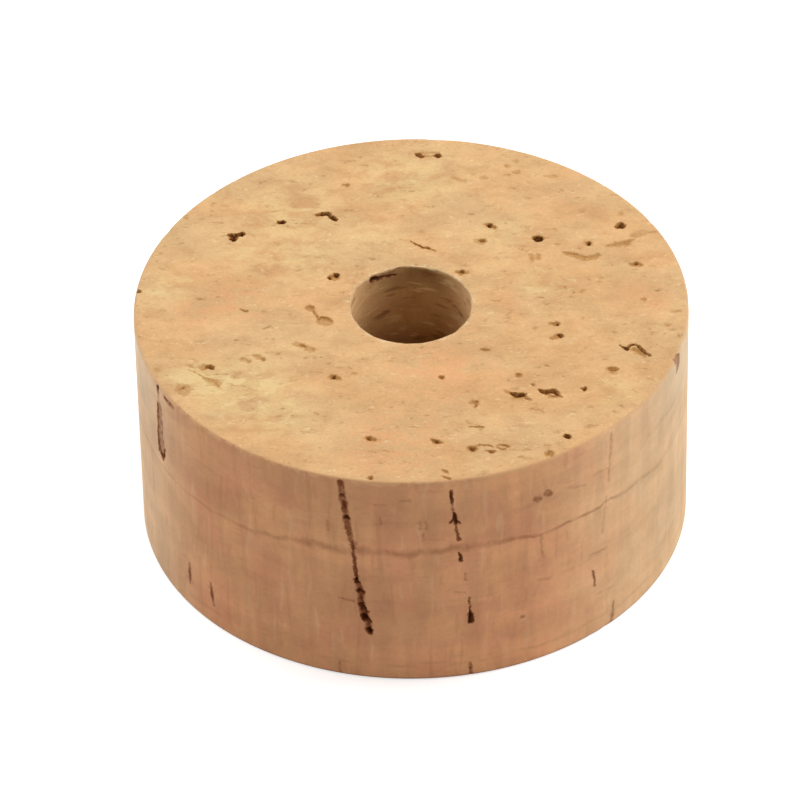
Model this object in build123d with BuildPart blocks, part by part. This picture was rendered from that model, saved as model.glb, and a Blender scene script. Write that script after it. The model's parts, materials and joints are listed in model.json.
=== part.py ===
from build123d import *
import os
from math import cos, degrees, hypot, radians, sin, tan

# A disc cut from one piece of natural cork, with a pilot bore through its middle.
# The growth layers lie level, so the pores of the bark run down through the disc.
# They open as pits in the two end faces and as broken channels in the wall.

# Disc, standing on its lower face with its axis on Z
outer_diameter = 28.0
height = 12.8
bore_diameter = 6.1
rim_break = 0.12
mouth_break = 0.08

# Pores: a pit is a tapered crescent, and a channel is a string of tapered lens shapes
longest_pit = 1.9
deepest_pit = 0.8
widest_channel = 0.75
deepest_channel = 0.6
cut_overrun = 0.05
floor_share = 0.6
pore_lean_degrees = 7.0

# Each pit: share of the way from bore to rim, bearing in degrees, share of the longest pit,
# bow of the back edge and of the front edge as shares of its length, turn in degrees,
# share of the deepest pit
pit_shares = [
    (0.70, 146, 0.45, 0.30, 0.30, 18, 1.0),
    (0.60, 133, 0.26, 0.42, 0.42, 0, 0.9),
    (0.50, 120, 0.55, 0.33, 0.08, -20, 1.0),
    (0.14, 148, 0.32, 0.48, 0.46, 0, 0.6),
    (0.17, 82, 0.88, 0.09, 0.05, -33, 0.6),
    (0.49, 181, 0.30, 0.20, 0.20, -32, 0.5),
    (0.13, 195, 0.42, 0.38, 0.30, -16, 0.4),
    (0.75, 205, 0.43, 0.30, 0.25, -16, 0.6),
    (0.35, 236, 0.32, 0.35, 0.35, -9, 0.7),
    (0.50, 207, 0.45, 0.22, 0.20, -46, 0.5),
    (0.87, 85, 0.71, 0.16, 0.16, -7, 1.0),
    (0.41, 57, 0.29, 0.35, 0.35, -34, 0.9),
    (0.30, 55, 0.35, 0.48, 0.42, 0, 0.5),
    (0.50, 38, 0.39, 0.35, 0.40, 8, 0.9),
    (0.85, 29, 0.30, 0.60, 0.30, 0, 1.0),
    (0.66, 28, 0.17, 0.48, 0.44, 0, 0.9),
    (0.60, 25, 0.97, -0.12, 0.33, -7, 0.4),
    (0.80, 14, 0.31, 0.42, 0.15, -10, 0.8),
    (0.06, 45, 0.26, 0.35, 0.40, 0, 0.8),
    (0.40, 346, 0.23, 0.35, 0.35, 4, 0.8),
    (0.44, 340, 0.32, 0.35, 0.35, 30, 0.9),
    (0.80, 340, 0.85, 0.52, -0.30, -24, 1.0),
    (0.76, 331, 0.31, 0.48, 0.40, 14, 0.5),
    (0.20, 315, 0.26, 0.30, 0.30, 0, 0.5),
    (0.27, 284, 0.16, 0.46, 0.44, 0, 0.6),
    (0.56, 305, 0.77, 0.25, 0.20, -30, 1.0),
    (0.63, 313, 0.71, 0.25, 0.20, -33, 0.9),
    (0.72, 321, 0.18, 0.46, 0.44, 0, 0.9),
    (0.91, 305, 0.21, 0.46, 0.42, 0, 0.9),
    (0.80, 284, 0.22, 0.46, 0.42, 0, 0.9),
    (0.84, 288, 0.25, 0.33, 0.33, 0, 0.6),
    (0.83, 291, 0.29, 0.42, 0.40, 0, 0.8),
    (0.72, 276, 0.29, 0.28, 0.28, -24, 0.8),
    (0.70, 258, 0.27, 0.35, 0.30, -17, 0.8),
]

# Pits at least this deep are pores that come out again in the lower face
through_pore_share = 0.9

# Each channel: bearing of its upper end in degrees, heights of its ends as shares of the
# disc's height, share of the widest channel, number of lens shapes in its string
channel_shares = [
    (205, 0.91, 0.64, 0.95, 3),
    (255, 0.99, 0.23, 0.65, 7),
    (277, 0.96, 0.70, 0.60, 3),
    (279, 0.65, 0.60, 0.40, 1),
    (281, 0.45, 0.29, 0.55, 2),
    (215, 0.22, 0.13, 0.65, 1),
    (223, 0.21, 0.12, 0.50, 1),
    (309, 0.32, 0.25, 0.35, 1),
    (315, 0.14, 0.04, 0.30, 1),
    (341, 0.99, 0.92, 0.90, 1),
    (12, 0.55, 0.24, 0.60, 2),
    (38, 0.97, 0.79, 0.50, 2),
    (66, 0.72, 0.10, 0.65, 5),
    (97, 0.95, 0.86, 0.40, 1),
    (118, 0.40, 0.16, 0.55, 2),
    (139, 0.98, 0.62, 0.75, 3),
    (163, 0.33, 0.24, 0.40, 1),
    (182, 0.88, 0.70, 0.45, 2),
]

# Widths along a string, which give a channel its beaded edges
bead_width_shares = (0.8, 1.0, 0.7, 0.9)
bead_overlap_share = 0.4

outer_radius = outer_diameter / 2
bore_radius = bore_diameter / 2


def crescent(plane, length, back, front, share):
    """Outline of a pore on a plane, shrunk by a share towards its middle."""
    middle = (back - front) / 2
    end = length / 2 * share
    end_level = middle * (1 - share)
    back_level = middle + (back - middle) * share
    front_level = middle - (front + middle) * share
    with BuildSketch(plane) as outline:
        with BuildLine():
            ThreePointArc((-end, end_level), (0, back_level), (end, end_level))
            ThreePointArc((end, end_level), (0, front_level), (-end, end_level))
        make_face()
    return outline.sketch


def pore(surface, length, back, front, depth):
    """Mouth and floor of a tapered pore, looking out of the surface."""
    mouth = crescent(surface.offset(cut_overrun), length, back, front, 1)
    floor = crescent(surface.offset(-depth), length, back, front, floor_share)
    return [mouth, floor]


def face_plane(x, y, z, turn, up):
    """Plane of an end face at a pit, with its first axis along the pit."""
    along = (cos(radians(turn)), sin(radians(turn)), 0)
    return Plane(origin=(x, y, z), x_dir=along, z_dir=(0, 0, up))


def wall_plane(bearing, z):
    """Plane that touches the wall at a bearing, with its first axis up along a leaning pore."""
    out_x, out_y = cos(radians(bearing)), sin(radians(bearing))
    lean = tan(radians(pore_lean_degrees)) * out_y
    return Plane(
        origin=(outer_radius * out_x, outer_radius * out_y, z),
        x_dir=(-lean * out_y, lean * out_x, 1),
        z_dir=(out_x, out_y, 0),
    )


with BuildPart() as cork_disc:
    with BuildSketch():
        Circle(outer_radius)
        Circle(bore_radius, mode=Mode.SUBTRACT)
    extrude(amount=height)
    chamfer(cork_disc.edges().filter_by(GeomType.CIRCLE).group_by(SortBy.RADIUS)[0], mouth_break)
    chamfer(cork_disc.edges().filter_by(GeomType.CIRCLE).group_by(SortBy.RADIUS)[-1], rim_break)

    # Pits in the upper face, and where the deep ones come out below
    for across, bearing, size, back_bow, front_bow, turn, depth in pit_shares:
        length = size * longest_pit
        back, front = back_bow * length, front_bow * length
        radius = bore_radius + across * (outer_radius - bore_radius)
        x, y = radius * cos(radians(bearing)), radius * sin(radians(bearing))
        upper = face_plane(x, y, height, turn, 1)
        loft(sections=pore(upper, length, back, front, depth * deepest_pit), mode=Mode.SUBTRACT)

        x_below = x + height * tan(radians(pore_lean_degrees))
        clear_of_bore = hypot(x_below, y) - length > bore_radius
        clear_of_rim = hypot(x_below, y) + length < outer_radius
        if depth >= through_pore_share and clear_of_bore and clear_of_rim:
            lower = face_plane(x_below, y, 0, turn, -1)
            loft(sections=pore(lower, length, front, back, depth * deepest_pit), mode=Mode.SUBTRACT)

    # Broken channels down the wall
    for bearing, top, bottom, width, beads in channel_shares:
        spacing = (top - bottom) * height / beads
        for bead in range(beads):
            z = top * height - (bead + 1 / 2) * spacing
            shift = (top * height - z) * tan(radians(pore_lean_degrees))
            turned = -sin(radians(bearing)) * shift / outer_radius
            bow = width * bead_width_shares[bead % len(bead_width_shares)] * widest_channel / 2
            surface = wall_plane(bearing + degrees(turned), z)
            length = spacing * (1 + bead_overlap_share)
            loft(sections=pore(surface, length, bow, bow, width * deepest_channel), mode=Mode.SUBTRACT)

cork_disc.part.label = "cork_disc"

os.makedirs("parts", exist_ok=True)
export_step(cork_disc.part, "parts/cork_disc.step")
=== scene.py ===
import json
import math

import bpy
import numpy as np
from mathutils import Matrix, Vector, noise


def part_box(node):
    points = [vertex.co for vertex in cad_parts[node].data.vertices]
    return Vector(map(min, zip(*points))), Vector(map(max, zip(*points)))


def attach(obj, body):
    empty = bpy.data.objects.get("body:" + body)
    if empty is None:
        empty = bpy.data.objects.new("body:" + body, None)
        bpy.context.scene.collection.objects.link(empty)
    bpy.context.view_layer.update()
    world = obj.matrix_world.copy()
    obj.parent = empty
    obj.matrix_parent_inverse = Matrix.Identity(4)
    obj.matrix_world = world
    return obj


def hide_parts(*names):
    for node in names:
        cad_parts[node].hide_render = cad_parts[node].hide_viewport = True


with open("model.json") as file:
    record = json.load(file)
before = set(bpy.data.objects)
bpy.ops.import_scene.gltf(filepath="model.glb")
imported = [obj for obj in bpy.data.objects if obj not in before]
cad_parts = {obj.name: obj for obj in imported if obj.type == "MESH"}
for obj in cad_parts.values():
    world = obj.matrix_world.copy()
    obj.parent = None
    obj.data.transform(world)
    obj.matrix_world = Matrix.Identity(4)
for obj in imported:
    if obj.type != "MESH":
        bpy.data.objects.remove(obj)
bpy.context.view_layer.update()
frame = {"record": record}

# A disc cut from one piece of natural cork, with a bore through its middle.
# The mesh is the plain turned form with the pores of the bark pressed into it.
# Bearings are in degrees from +X towards +Y, and height shares go from 0 below to 1 above.

# Sizes of the disc, in metres
mm = 0.001
low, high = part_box("cork_disc")
outer_radius = (high.x - low.x) / 2
height = high.z - low.z
bore_mount = next(mount for mount in frame["record"]["mounts"] if mount["name"] == "bore")
bore_radius = bore_mount["dims"]["r_mm"] * mm
rim_round = 0.12 * mm
mouth_round = 0.08 * mm
pore_lean = math.tan(math.radians(7))

# The same sizes in millimetres, for the materials
outer_mm = outer_radius / mm
bore_mm = bore_radius / mm
height_mm = height / mm

# Mesh: edge lengths on plain surfaces, at the rims and in the pores, and their growth away from these
plain_edge = 0.42 * mm
rim_edge = 0.20 * mm
pore_edge = 0.06 * mm
edge_growth = 0.45
round_steps = 3

# An edge is split in two where it is longer than this share of the length that is wanted there
longest_share = 1.42
refine_rounds = 4

# Pores: reach below their surface, sloping wall, furthest they are felt, depth, and share a tip draws in
pore_reach = 1.3 * mm
pore_wall = 0.11 * mm
far_from_pores = 1.2 * mm
deepest_pore = 0.5 * mm
most_drawn_in = 0.8

# Ragged edges of the pores, seeded so that each run gives the same disc
edge_wander = 0.06 * mm
edge_grain = 4.0 / mm
wander_seed = 3
noise.seed_set(wander_seed)

# Darkness, from 0 to 1, at which a stain becomes a pore, a pore is deep, and a pore comes out below
stain_darkness = 0.3
deep_darkness = 0.45
through_darkness = 0.55
kinds = ("deep", "faint")

# Wear: tears of the bore, nicks of the rims, bites and crumbs of the mouths; grains are cells for each mm
tear_grain = (0.7, 0.7, 3.2)
tear_depth = 0.05 * mm
nick_grain = 1.6
nick_depth = 0.02 * mm
bite_grain = 1.1
bite_depth = 0.09 * mm
crumb_height = 0.07 * mm
wear_reach = 0.3 * mm

# Square sheet on which the surfaces are laid flat, and the gap between them
sheet_side = 60 * mm
sheet_gap = mm

# Pores of the upper face: darkness, and the stroke from tip to tip as (x, y, width) in mm
face_pores = [
    (0.9, [(-9.35, 6.05, 0.25), (-8.75, 6.0, 0.3)]),
    (0.82, [(-9.05, 5.95, 0.5), (-8.95, 5.5, 0.25)]),
    (0.9, [(-8.85, 6.05, 0.25), (-8.65, 6.1, 0.25), (-8.4, 6.15, 0.4)]),
    (0.95, [(-6.8, 7.05, 0.25), (-6.35, 7.0, 0.3)]),
    (0.8, [(-4.8, 7.55, 0.2), (-4.55, 7.65, 0.3), (-4.25, 7.7, 0.3), (-4.05, 7.5, 0.25)]),
    (0.95, [(-4.15, 7.5, 0.25), (-3.95, 7.35, 0.3), (-3.7, 7.1, 0.25)]),
    (0.42, [(-3.4, 10.1, 0.25), (-3.05, 10.05, 0.35)]),
    (0.44, [(-4.15, 2.4, 0.45), (-3.55, 2.4, 0.5)]),
    (0.85, [(-3.9, 2.7, 0.2), (-3.6, 2.5, 0.3)]),
    (0.75, [(-4.15, 2.5, 0.2), (-4.0, 2.2, 0.2)]),
    (0.6, [(-3.65, 2.3, 0.15), (-3.9, 2.1, 0.15)]),
    (0.58, [(0.0, 5.3, 0.06), (0.35, 4.95, 0.14), (0.65, 4.7, 0.18), (0.9, 4.65, 0.16), (1.3, 4.4, 0.06)]),
    (0.22, [(-0.5, 5.4, 0.1), (0.0, 5.25, 0.1)]),
    (0.45, [(-8.65, -0.05, 0.1), (-8.2, -0.3, 0.2)]),
    (0.42, [(-5.35, -0.05, 0.45), (-4.85, -0.1, 0.45)]),
    (0.46, [(-4.95, -0.25, 0.1), (-4.7, -0.9, 0.15)]),
    (0.34, [(-4.75, -1.15, 0.55), (-3.95, -1.35, 0.65)]),
    (0.46, [(-4.75, -1.05, 0.15), (-4.55, -0.85, 0.2), (-4.25, -0.9, 0.2), (-3.95, -1.2, 0.15)]),
    (0.33, [(-5.95, -2.9, 0.25), (-5.45, -3.1, 0.35), (-4.85, -3.55, 0.35)]),
    (0.46, [(-5.6, -3.0, 0.2), (-5.25, -3.2, 0.2)]),
    (0.38, [(-10.7, -4.6, 0.35), (-10.2, -4.7, 0.5)]),
    (0.65, [(-10.35, -4.65, 0.25), (-10.1, -4.65, 0.35), (-9.85, -4.8, 0.3)]),
    (0.44, [(-4.2, -5.7, 0.35), (-3.85, -5.65, 0.4), (-3.55, -5.8, 0.3)]),
    (0.75, [(-4.05, -5.6, 0.2), (-3.75, -5.65, 0.25)]),
    (0.34, [(-3.0, -5.35, 0.2), (-2.75, -5.45, 0.2)]),
    (0.45, [(-11.2, -4.8, 0.03), (-10.4, -5.4, 0.04), (-9.9, -5.75, 0.05), (-9.55, -6.25, 0.03)]),
    (0.28, [(-10.4, -5.5, 0.25), (-9.85, -5.9, 0.5), (-9.5, -6.1, 0.35)]),
    (0.28, [(-11.6, -5.95, 0.5), (-11.4, -6.4, 0.75), (-11.25, -6.9, 0.4)]),
    (0.46, [(-11.6, -6.4, 0.12), (-11.3, -6.2, 0.2)]),
    (0.25, [(-12.85, -4.8, 0.25), (-12.55, -4.8, 0.25)]),
    (0.34, [(-8.6, -4.05, 0.2), (-8.35, -4.1, 0.3), (-8.05, -4.35, 0.25)]),
    (0.36, [(-7.95, -3.75, 0.2), (-7.65, -3.95, 0.35), (-7.3, -4.2, 0.25)]),
    (0.45, [(-7.55, -4.05, 0.15), (-7.3, -4.2, 0.2)]),
    (0.28, [(-9.0, -5.45, 0.2), (-8.75, -5.55, 0.2)]),
    (0.6, [(-13.9, 1.55, 0.25), (-13.6, 1.55, 0.2)]),
    (0.62, [(0.35, 12.7, 0.15), (0.55, 12.55, 0.35), (0.8, 12.3, 0.3)]),
    (0.72, [(1.3, 12.4, 0.2), (1.5, 12.45, 0.35), (1.7, 12.35, 0.4)]),
    (0.35, [(0.75, 12.4, 0.15), (1.35, 12.4, 0.15)]),
    (0.36, [(0.6, 12.7, 0.1), (1.65, 12.7, 0.1)]),
    (0.44, [(3.85, 6.55, 0.3), (4.15, 6.4, 0.4), (4.45, 6.2, 0.3)]),
    (0.8, [(3.95, 6.5, 0.25), (4.25, 6.4, 0.3)]),
    (0.36, [(3.3, 5.1, 0.4), (3.95, 5.15, 0.55)]),
    (0.58, [(3.55, 5.25, 0.25), (3.8, 5.15, 0.3)]),
    (0.88, [(6.3, 5.2, 0.3), (6.55, 5.25, 0.55), (6.75, 5.25, 0.35)]),
    (0.4, [(6.65, 5.25, 0.2), (7.05, 5.3, 0.1)]),
    (0.75, [(10.5, 6.05, 0.3), (10.8, 6.2, 0.55), (11.05, 6.05, 0.3)]),
    (0.4, [(8.9, 4.8, 0.4), (9.25, 4.75, 0.4)]),
    (0.75, [(9.0, 4.85, 0.25), (9.2, 4.75, 0.25)]),
    (0.38, [(7.75, 4.1, 0.2), (8.3, 3.85, 0.35), (8.9, 3.55, 0.4), (9.3, 3.6, 0.4), (9.65, 3.9, 0.25)]),
    (0.38, [(9.95, 4.5, 0.15), (10.6, 4.65, 0.3), (11.0, 4.75, 0.45), (11.4, 5.0, 0.2)]),
    (0.34, [(6.15, 4.0, 0.25), (6.2, 3.3, 0.25)]),
    (0.34, [(6.5, 4.0, 0.25), (6.55, 3.45, 0.25)]),
    (0.42, [(11.1, 2.95, 0.25), (11.45, 3.0, 0.4), (11.8, 2.85, 0.3)]),
    (0.65, [(11.3, 3.1, 0.15), (11.6, 3.05, 0.2)]),
    (0.42, [(2.25, 2.65, 0.2), (2.6, 2.6, 0.4), (2.95, 2.55, 0.25)]),
    (0.65, [(2.45, 2.7, 0.15), (2.75, 2.65, 0.2)]),
    (0.42, [(6.9, -1.7, 0.2), (7.2, -1.75, 0.35), (7.5, -1.75, 0.35)]),
    (0.75, [(7.2, -1.7, 0.15), (7.45, -1.75, 0.22)]),
    (0.42, [(6.95, -2.95, 0.25), (7.3, -2.75, 0.35), (7.6, -2.75, 0.35)]),
    (0.75, [(7.3, -2.6, 0.18), (7.6, -2.75, 0.25)]),
    (0.85, [(10.35, -3.55, 0.06), (10.55, -3.7, 0.12), (10.7, -3.9, 0.18), (10.9, -3.6, 0.16),
            (11.15, -3.5, 0.15), (11.4, -3.8, 0.16), (11.65, -4.2, 0.18), (11.9, -4.5, 0.14)]),
    (0.4, [(10.95, -3.8, 0.3), (11.3, -4.1, 0.4), (11.65, -4.5, 0.2)]),
    (0.42, [(9.65, -5.4, 0.35), (10.25, -5.45, 0.35)]),
    (0.55, [(9.7, -5.3, 0.1), (9.95, -5.5, 0.2), (10.25, -5.45, 0.12)]),
    (0.34, [(9.95, -5.5, 0.4), (10.05, -5.85, 0.15)]),
    (0.42, [(3.4, -3.65, 0.1), (3.65, -3.7, 0.25), (3.95, -3.7, 0.2)]),
    (0.48, [(1.3, -5.8, 0.3), (1.6, -5.85, 0.3)]),
    (0.42, [(5.1, -5.75, 0.35), (5.35, -5.8, 0.35)]),
    (0.75, [(4.8, -7.15, 0.2), (5.15, -7.35, 0.35), (5.6, -7.3, 0.35)]),
    (0.46, [(5.55, -7.15, 0.2), (5.6, -7.6, 0.25), (5.9, -7.8, 0.1)]),
    (0.35, [(4.55, -7.0, 0.1), (4.85, -7.2, 0.2)]),
    (0.34, [(4.9, -7.5, 0.35), (5.5, -7.6, 0.4)]),
    (0.72, [(6.2, -6.9, 0.15), (6.5, -7.15, 0.3), (6.8, -7.1, 0.35), (7.05, -7.1, 0.35), (7.2, -7.35, 0.25),
            (7.4, -7.6, 0.1)]),
    (0.4, [(6.55, -7.25, 0.15), (6.85, -7.5, 0.2), (7.25, -7.5, 0.15)]),
    (0.46, [(5.85, -6.45, 0.15), (6.1, -6.6, 0.25)]),
    (0.6, [(8.35, -6.9, 0.2), (8.65, -7.0, 0.35)]),
    (0.42, [(2.8, -7.8, 0.3), (3.3, -7.85, 0.35)]),
    (0.46, [(3.15, -7.9, 0.2), (3.05, -8.3, 0.1)]),
    (0.75, [(7.35, -10.5, 0.25), (7.6, -10.65, 0.35), (7.75, -10.75, 0.25)]),
    (0.44, [(2.6, -11.35, 0.3), (2.9, -11.45, 0.45), (3.15, -11.5, 0.3)]),
    (0.72, [(2.75, -11.35, 0.2), (3.0, -11.45, 0.25)]),
    (0.47, [(3.0, -11.35, 0.1), (3.25, -11.15, 0.14), (3.55, -11.15, 0.14), (3.95, -11.35, 0.08)]),
    (0.5, [(3.5, -11.6, 0.12), (3.8, -11.7, 0.25), (4.05, -11.65, 0.15)]),
    (0.52, [(4.05, -11.3, 0.12), (4.3, -11.15, 0.14), (4.6, -11.25, 0.16), (4.6, -11.45, 0.12)]),
    (0.5, [(4.1, -11.35, 0.1), (4.3, -11.5, 0.14), (4.55, -11.45, 0.12)]),
    (0.44, [(0.85, -10.6, 0.2), (1.1, -10.85, 0.35), (1.45, -10.95, 0.25)]),
    (0.68, [(1.0, -10.75, 0.2), (1.25, -10.85, 0.2)]),
    (0.44, [(6.4, -12.0, 0.35), (6.85, -11.85, 0.5)]),
    (0.28, [(6.4, -11.3, 0.1), (6.65, -11.5, 0.1)]),
    (0.46, [(1.3, -12.95, 0.1), (1.65, -13.2, 0.2)]),
    (0.46, [(1.35, -13.5, 0.1), (1.8, -13.75, 0.2)]),
    (0.46, [(2.7, -9.7, 0.08), (3.15, -9.75, 0.14), (3.5, -9.8, 0.14)]),
    (0.32, [(3.25, -9.9, 0.2), (3.35, -10.0, 0.15)]),
    (0.22, [(8.6, -8.35, 0.2), (8.9, -8.3, 0.25)]),
    (0.42, [(-2.45, -10.4, 0.2), (-2.15, -10.5, 0.4), (-1.8, -10.65, 0.25)]),
    (0.74, [(-2.3, -10.45, 0.2), (-2.05, -10.5, 0.25)]),
    (0.52, [(-2.3, -13.5, 0.25), (-2.0, -13.5, 0.3)]),
    (0.22, [(-6.85, 5.25, 0.25), (-6.6, 5.2, 0.2)]),
    (0.22, [(7.0, 10.5, 0.2), (7.7, 10.45, 0.3)]),
    (0.28, [(5.0, 11.45, 0.25), (5.3, 11.45, 0.25)]),
    (0.28, [(4.95, 10.7, 0.25), (5.25, 10.7, 0.25)]),
    (0.28, [(5.4, 10.9, 0.3), (5.8, 10.9, 0.3)]),
    (0.28, [(5.45, 11.85, 0.25), (5.75, 11.85, 0.25)]),
    (0.28, [(3.7, 10.45, 0.3), (4.1, 10.45, 0.3)]),
    (0.22, [(2.2, 10.6, 0.15), (3.0, 10.15, 0.25)]),
    (0.22, [(8.7, 7.5, 0.3), (9.0, 7.5, 0.3)]),
    (0.22, [(10.7, 7.2, 0.3), (11.0, 7.2, 0.3)]),
    (0.22, [(11.3, 5.2, 0.4), (12.1, 5.7, 0.5)]),
    (0.32, [(13.05, -0.95, 0.2), (13.6, -0.9, 0.2)]),
    (0.28, [(12.7, -2.0, 0.3), (13.0, -2.0, 0.3)]),
    (0.36, [(11.6, 0.1, 0.25), (11.9, 0.1, 0.25)]),
]

# Channels and marks of the wall in front: darkness, and the stroke as (bearing, height share, width in mm)
wall_pores = [
    (0.5, [(205.0, 0.996, 0.35), (205.2, 0.98, 0.3)]),
    (0.4, [(205.2, 0.975, 0.3), (205.2, 0.96, 0.3)]),
    (0.22, [(205.2, 0.965, 0.2), (205.1, 0.905, 0.25)]),
    (0.37, [(205.4, 0.915, 0.5), (205.5, 0.835, 0.6), (205.4, 0.765, 0.6),
            (205.6, 0.695, 0.7), (206.1, 0.645, 0.7)]),
    (0.54, [(204.7, 0.905, 0.08), (204.3, 0.83, 0.14), (204.3, 0.8, 0.05),
            (204.1, 0.725, 0.14), (204.4, 0.65, 0.18)]),
    (0.5, [(206.0, 0.89, 0.1), (206.5, 0.84, 0.12), (206.3, 0.79, 0.08)]),
    (0.5, [(206.3, 0.765, 0.08), (206.6, 0.73, 0.12), (207.0, 0.7, 0.1)]),
    (0.58, [(204.4, 0.66, 0.16), (206.0, 0.64, 0.32), (207.4, 0.705, 0.14)]),
    (0.4, [(207.9, 0.98, 0.2), (210.0, 0.975, 0.3), (212.3, 0.975, 0.2)]),
    (0.44, [(255.0, 0.998, 0.32), (255.2, 0.95, 0.32), (255.3, 0.915, 0.36), (255.7, 0.88, 0.34),
            (255.9, 0.84, 0.3), (256.1, 0.805, 0.36), (256.3, 0.76, 0.34),
            (256.7, 0.715, 0.26), (257.1, 0.67, 0.18)]),
    (0.55, [(255.0, 0.99, 0.22), (255.1, 0.955, 0.22)]),
    (0.65, [(254.5, 0.917, 0.2), (255.9, 0.915, 0.24)]),
    (0.62, [(255.5, 0.89, 0.22), (255.8, 0.845, 0.24)]),
    (0.85, [(255.3, 0.81, 0.24), (256.9, 0.803, 0.26)]),
    (0.52, [(256.1, 0.79, 0.16), (256.5, 0.73, 0.16)]),
    (0.32, [(257.1, 0.705, 0.1), (257.9, 0.685, 0.12), (257.4, 0.655, 0.1)]),
    (0.58, [(257.1, 0.69, 0.14), (257.5, 0.605, 0.16), (257.7, 0.555, 0.16), (257.9, 0.5, 0.2)]),
    (0.95, [(257.5, 0.508, 0.22), (258.3, 0.476, 0.26)]),
    (0.44, [(258.0, 0.49, 0.26), (258.6, 0.44, 0.36), (258.6, 0.4, 0.3), (258.9, 0.36, 0.38),
            (259.9, 0.29, 0.38), (260.4, 0.235, 0.3)]),
    (0.65, [(258.4, 0.46, 0.16), (258.7, 0.4, 0.18), (259.0, 0.36, 0.2),
            (259.9, 0.29, 0.2), (260.5, 0.235, 0.16)]),
    (0.88, [(257.8, 0.446, 0.28), (259.5, 0.436, 0.26)]),
    (0.7, [(258.4, 0.415, 0.2), (258.8, 0.395, 0.2)]),
    (0.9, [(258.1, 0.383, 0.24), (259.1, 0.355, 0.36), (260.0, 0.336, 0.24)]),
    (0.98, [(258.6, 0.328, 0.24), (259.6, 0.303, 0.36), (260.7, 0.288, 0.24)]),
    (0.92, [(259.6, 0.26, 0.26), (260.3, 0.246, 0.36), (260.7, 0.226, 0.24)]),
    (0.28, [(254.0, 0.397, 0.06), (255.9, 0.393, 0.06), (257.4, 0.39, 0.13)]),
    (0.7, [(277.3, 0.957, 0.08), (277.3, 0.916, 0.2), (277.4, 0.882, 0.13)]),
    (0.42, [(277.4, 0.89, 0.06), (277.8, 0.83, 0.09)]),
    (0.82, [(277.8, 0.845, 0.12), (278.0, 0.81, 0.26), (278.2, 0.78, 0.18)]),
    (0.75, [(276.9, 0.79, 0.08), (278.0, 0.808, 0.15), (279.2, 0.784, 0.08)]),
    (0.55, [(278.2, 0.785, 0.1), (278.4, 0.743, 0.13), (278.8, 0.697, 0.18)]),
    (0.78, [(278.7, 0.64, 0.08), (279.0, 0.615, 0.18), (279.0, 0.593, 0.15)]),
    (0.25, [(280.0, 0.53, 0.1), (280.0, 0.49, 0.1)]),
    (0.5, [(280.7, 0.407, 0.1), (280.7, 0.378, 0.13)]),
    (0.58, [(280.8, 0.375, 0.08), (280.9, 0.325, 0.13)]),
    (0.85, [(280.9, 0.335, 0.13), (281.0, 0.302, 0.3), (281.0, 0.268, 0.24)]),
    (0.34, [(215.5, 0.23, 0.1), (215.3, 0.175, 0.28), (215.2, 0.115, 0.1)]),
    (0.46, [(215.5, 0.205, 0.08), (215.3, 0.165, 0.14), (215.3, 0.14, 0.08)]),
    (0.22, [(214.0, 0.145, 0.06), (216.4, 0.135, 0.08)]),
    (0.34, [(222.4, 0.215, 0.1), (222.6, 0.16, 0.24), (223.1, 0.1, 0.08)]),
    (0.46, [(222.5, 0.19, 0.08), (222.6, 0.15, 0.14), (222.9, 0.125, 0.08)]),
    (0.22, [(221.4, 0.185, 0.06), (223.2, 0.175, 0.08)]),
    (0.47, [(309.1, 0.335, 0.12), (309.4, 0.29, 0.16), (309.7, 0.245, 0.1)]),
    (0.32, [(314.9, 0.115, 0.1), (314.7, 0.055, 0.18), (314.3, 0.0, 0.2)]),
    (0.18, [(314.1, 0.98, 0.1), (314.0, 0.905, 0.15), (313.7, 0.835, 0.12), (313.3, 0.74, 0.08)]),
    (0.12, [(312.8, 0.675, 0.08), (312.1, 0.58, 0.08), (311.7, 0.495, 0.08)]),
    (0.32, [(291.5, 0.25, 0.16), (292.7, 0.243, 0.16)]),
    (0.34, [(294.5, 0.825, 0.3), (296.4, 0.815, 0.42)]),
    (0.36, [(297.0, 0.838, 0.38), (298.9, 0.824, 0.38)]),
    (0.45, [(280.7, 0.07, 0.1), (280.8, 0.0, 0.2)]),
    (0.25, [(253.8, 0.065, 0.1), (253.9, 0.005, 0.12)]),
    (0.36, [(339.2, 0.997, 0.35), (341.3, 0.985, 0.6), (341.5, 0.955, 0.55), (340.6, 0.92, 0.3)]),
    (0.2, [(296.3, 0.63, 0.08), (296.4, 0.565, 0.1), (296.7, 0.515, 0.1)]),
    (0.18, [(308.0, 0.42, 0.06), (311.0, 0.413, 0.12), (313.0, 0.411, 0.08)]),
    (0.14, [(295.5, 0.409, 0.08), (298.5, 0.396, 0.1)]),
    (0.12, [(310.0, 0.2, 0.08), (315.0, 0.187, 0.1)]),
    (0.14, [(303.0, 0.813, 0.08), (307.0, 0.791, 0.1)]),
    (0.14, [(309.0, 0.818, 0.1), (313.0, 0.812, 0.08)]),
    (0.22, [(252.0, 0.781, 0.1), (252.2, 0.73, 0.08)]),
    (0.2, [(263.0, 0.833, 0.08), (263.0, 0.788, 0.08)]),
    (0.22, [(271.0, 0.817, 0.08), (271.1, 0.767, 0.08)]),
    (0.22, [(272.2, 0.811, 0.08), (272.3, 0.766, 0.08)]),
    (0.18, [(271.5, 0.751, 0.08), (271.6, 0.711, 0.08)]),
    (0.18, [(267.0, 0.913, 0.08), (269.2, 0.913, 0.08)]),
    (0.18, [(261.8, 0.887, 0.08), (264.0, 0.89, 0.08)]),
    (0.16, [(277.8, 0.44, 0.08), (280.3, 0.432, 0.08)]),
]

# Channels of the wall behind: bearing and height share of the upper end, lower height share, width in mm
back_channels = [
    (12, 0.55, 0.24, 0.45),
    (38, 0.97, 0.79, 0.38),
    (66, 0.72, 0.1, 0.49),
    (97, 0.95, 0.86, 0.3),
    (118, 0.4, 0.16, 0.41),
    (139, 0.98, 0.62, 0.56),
    (163, 0.33, 0.24, 0.3),
    (182, 0.88, 0.7, 0.34),
]

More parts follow.
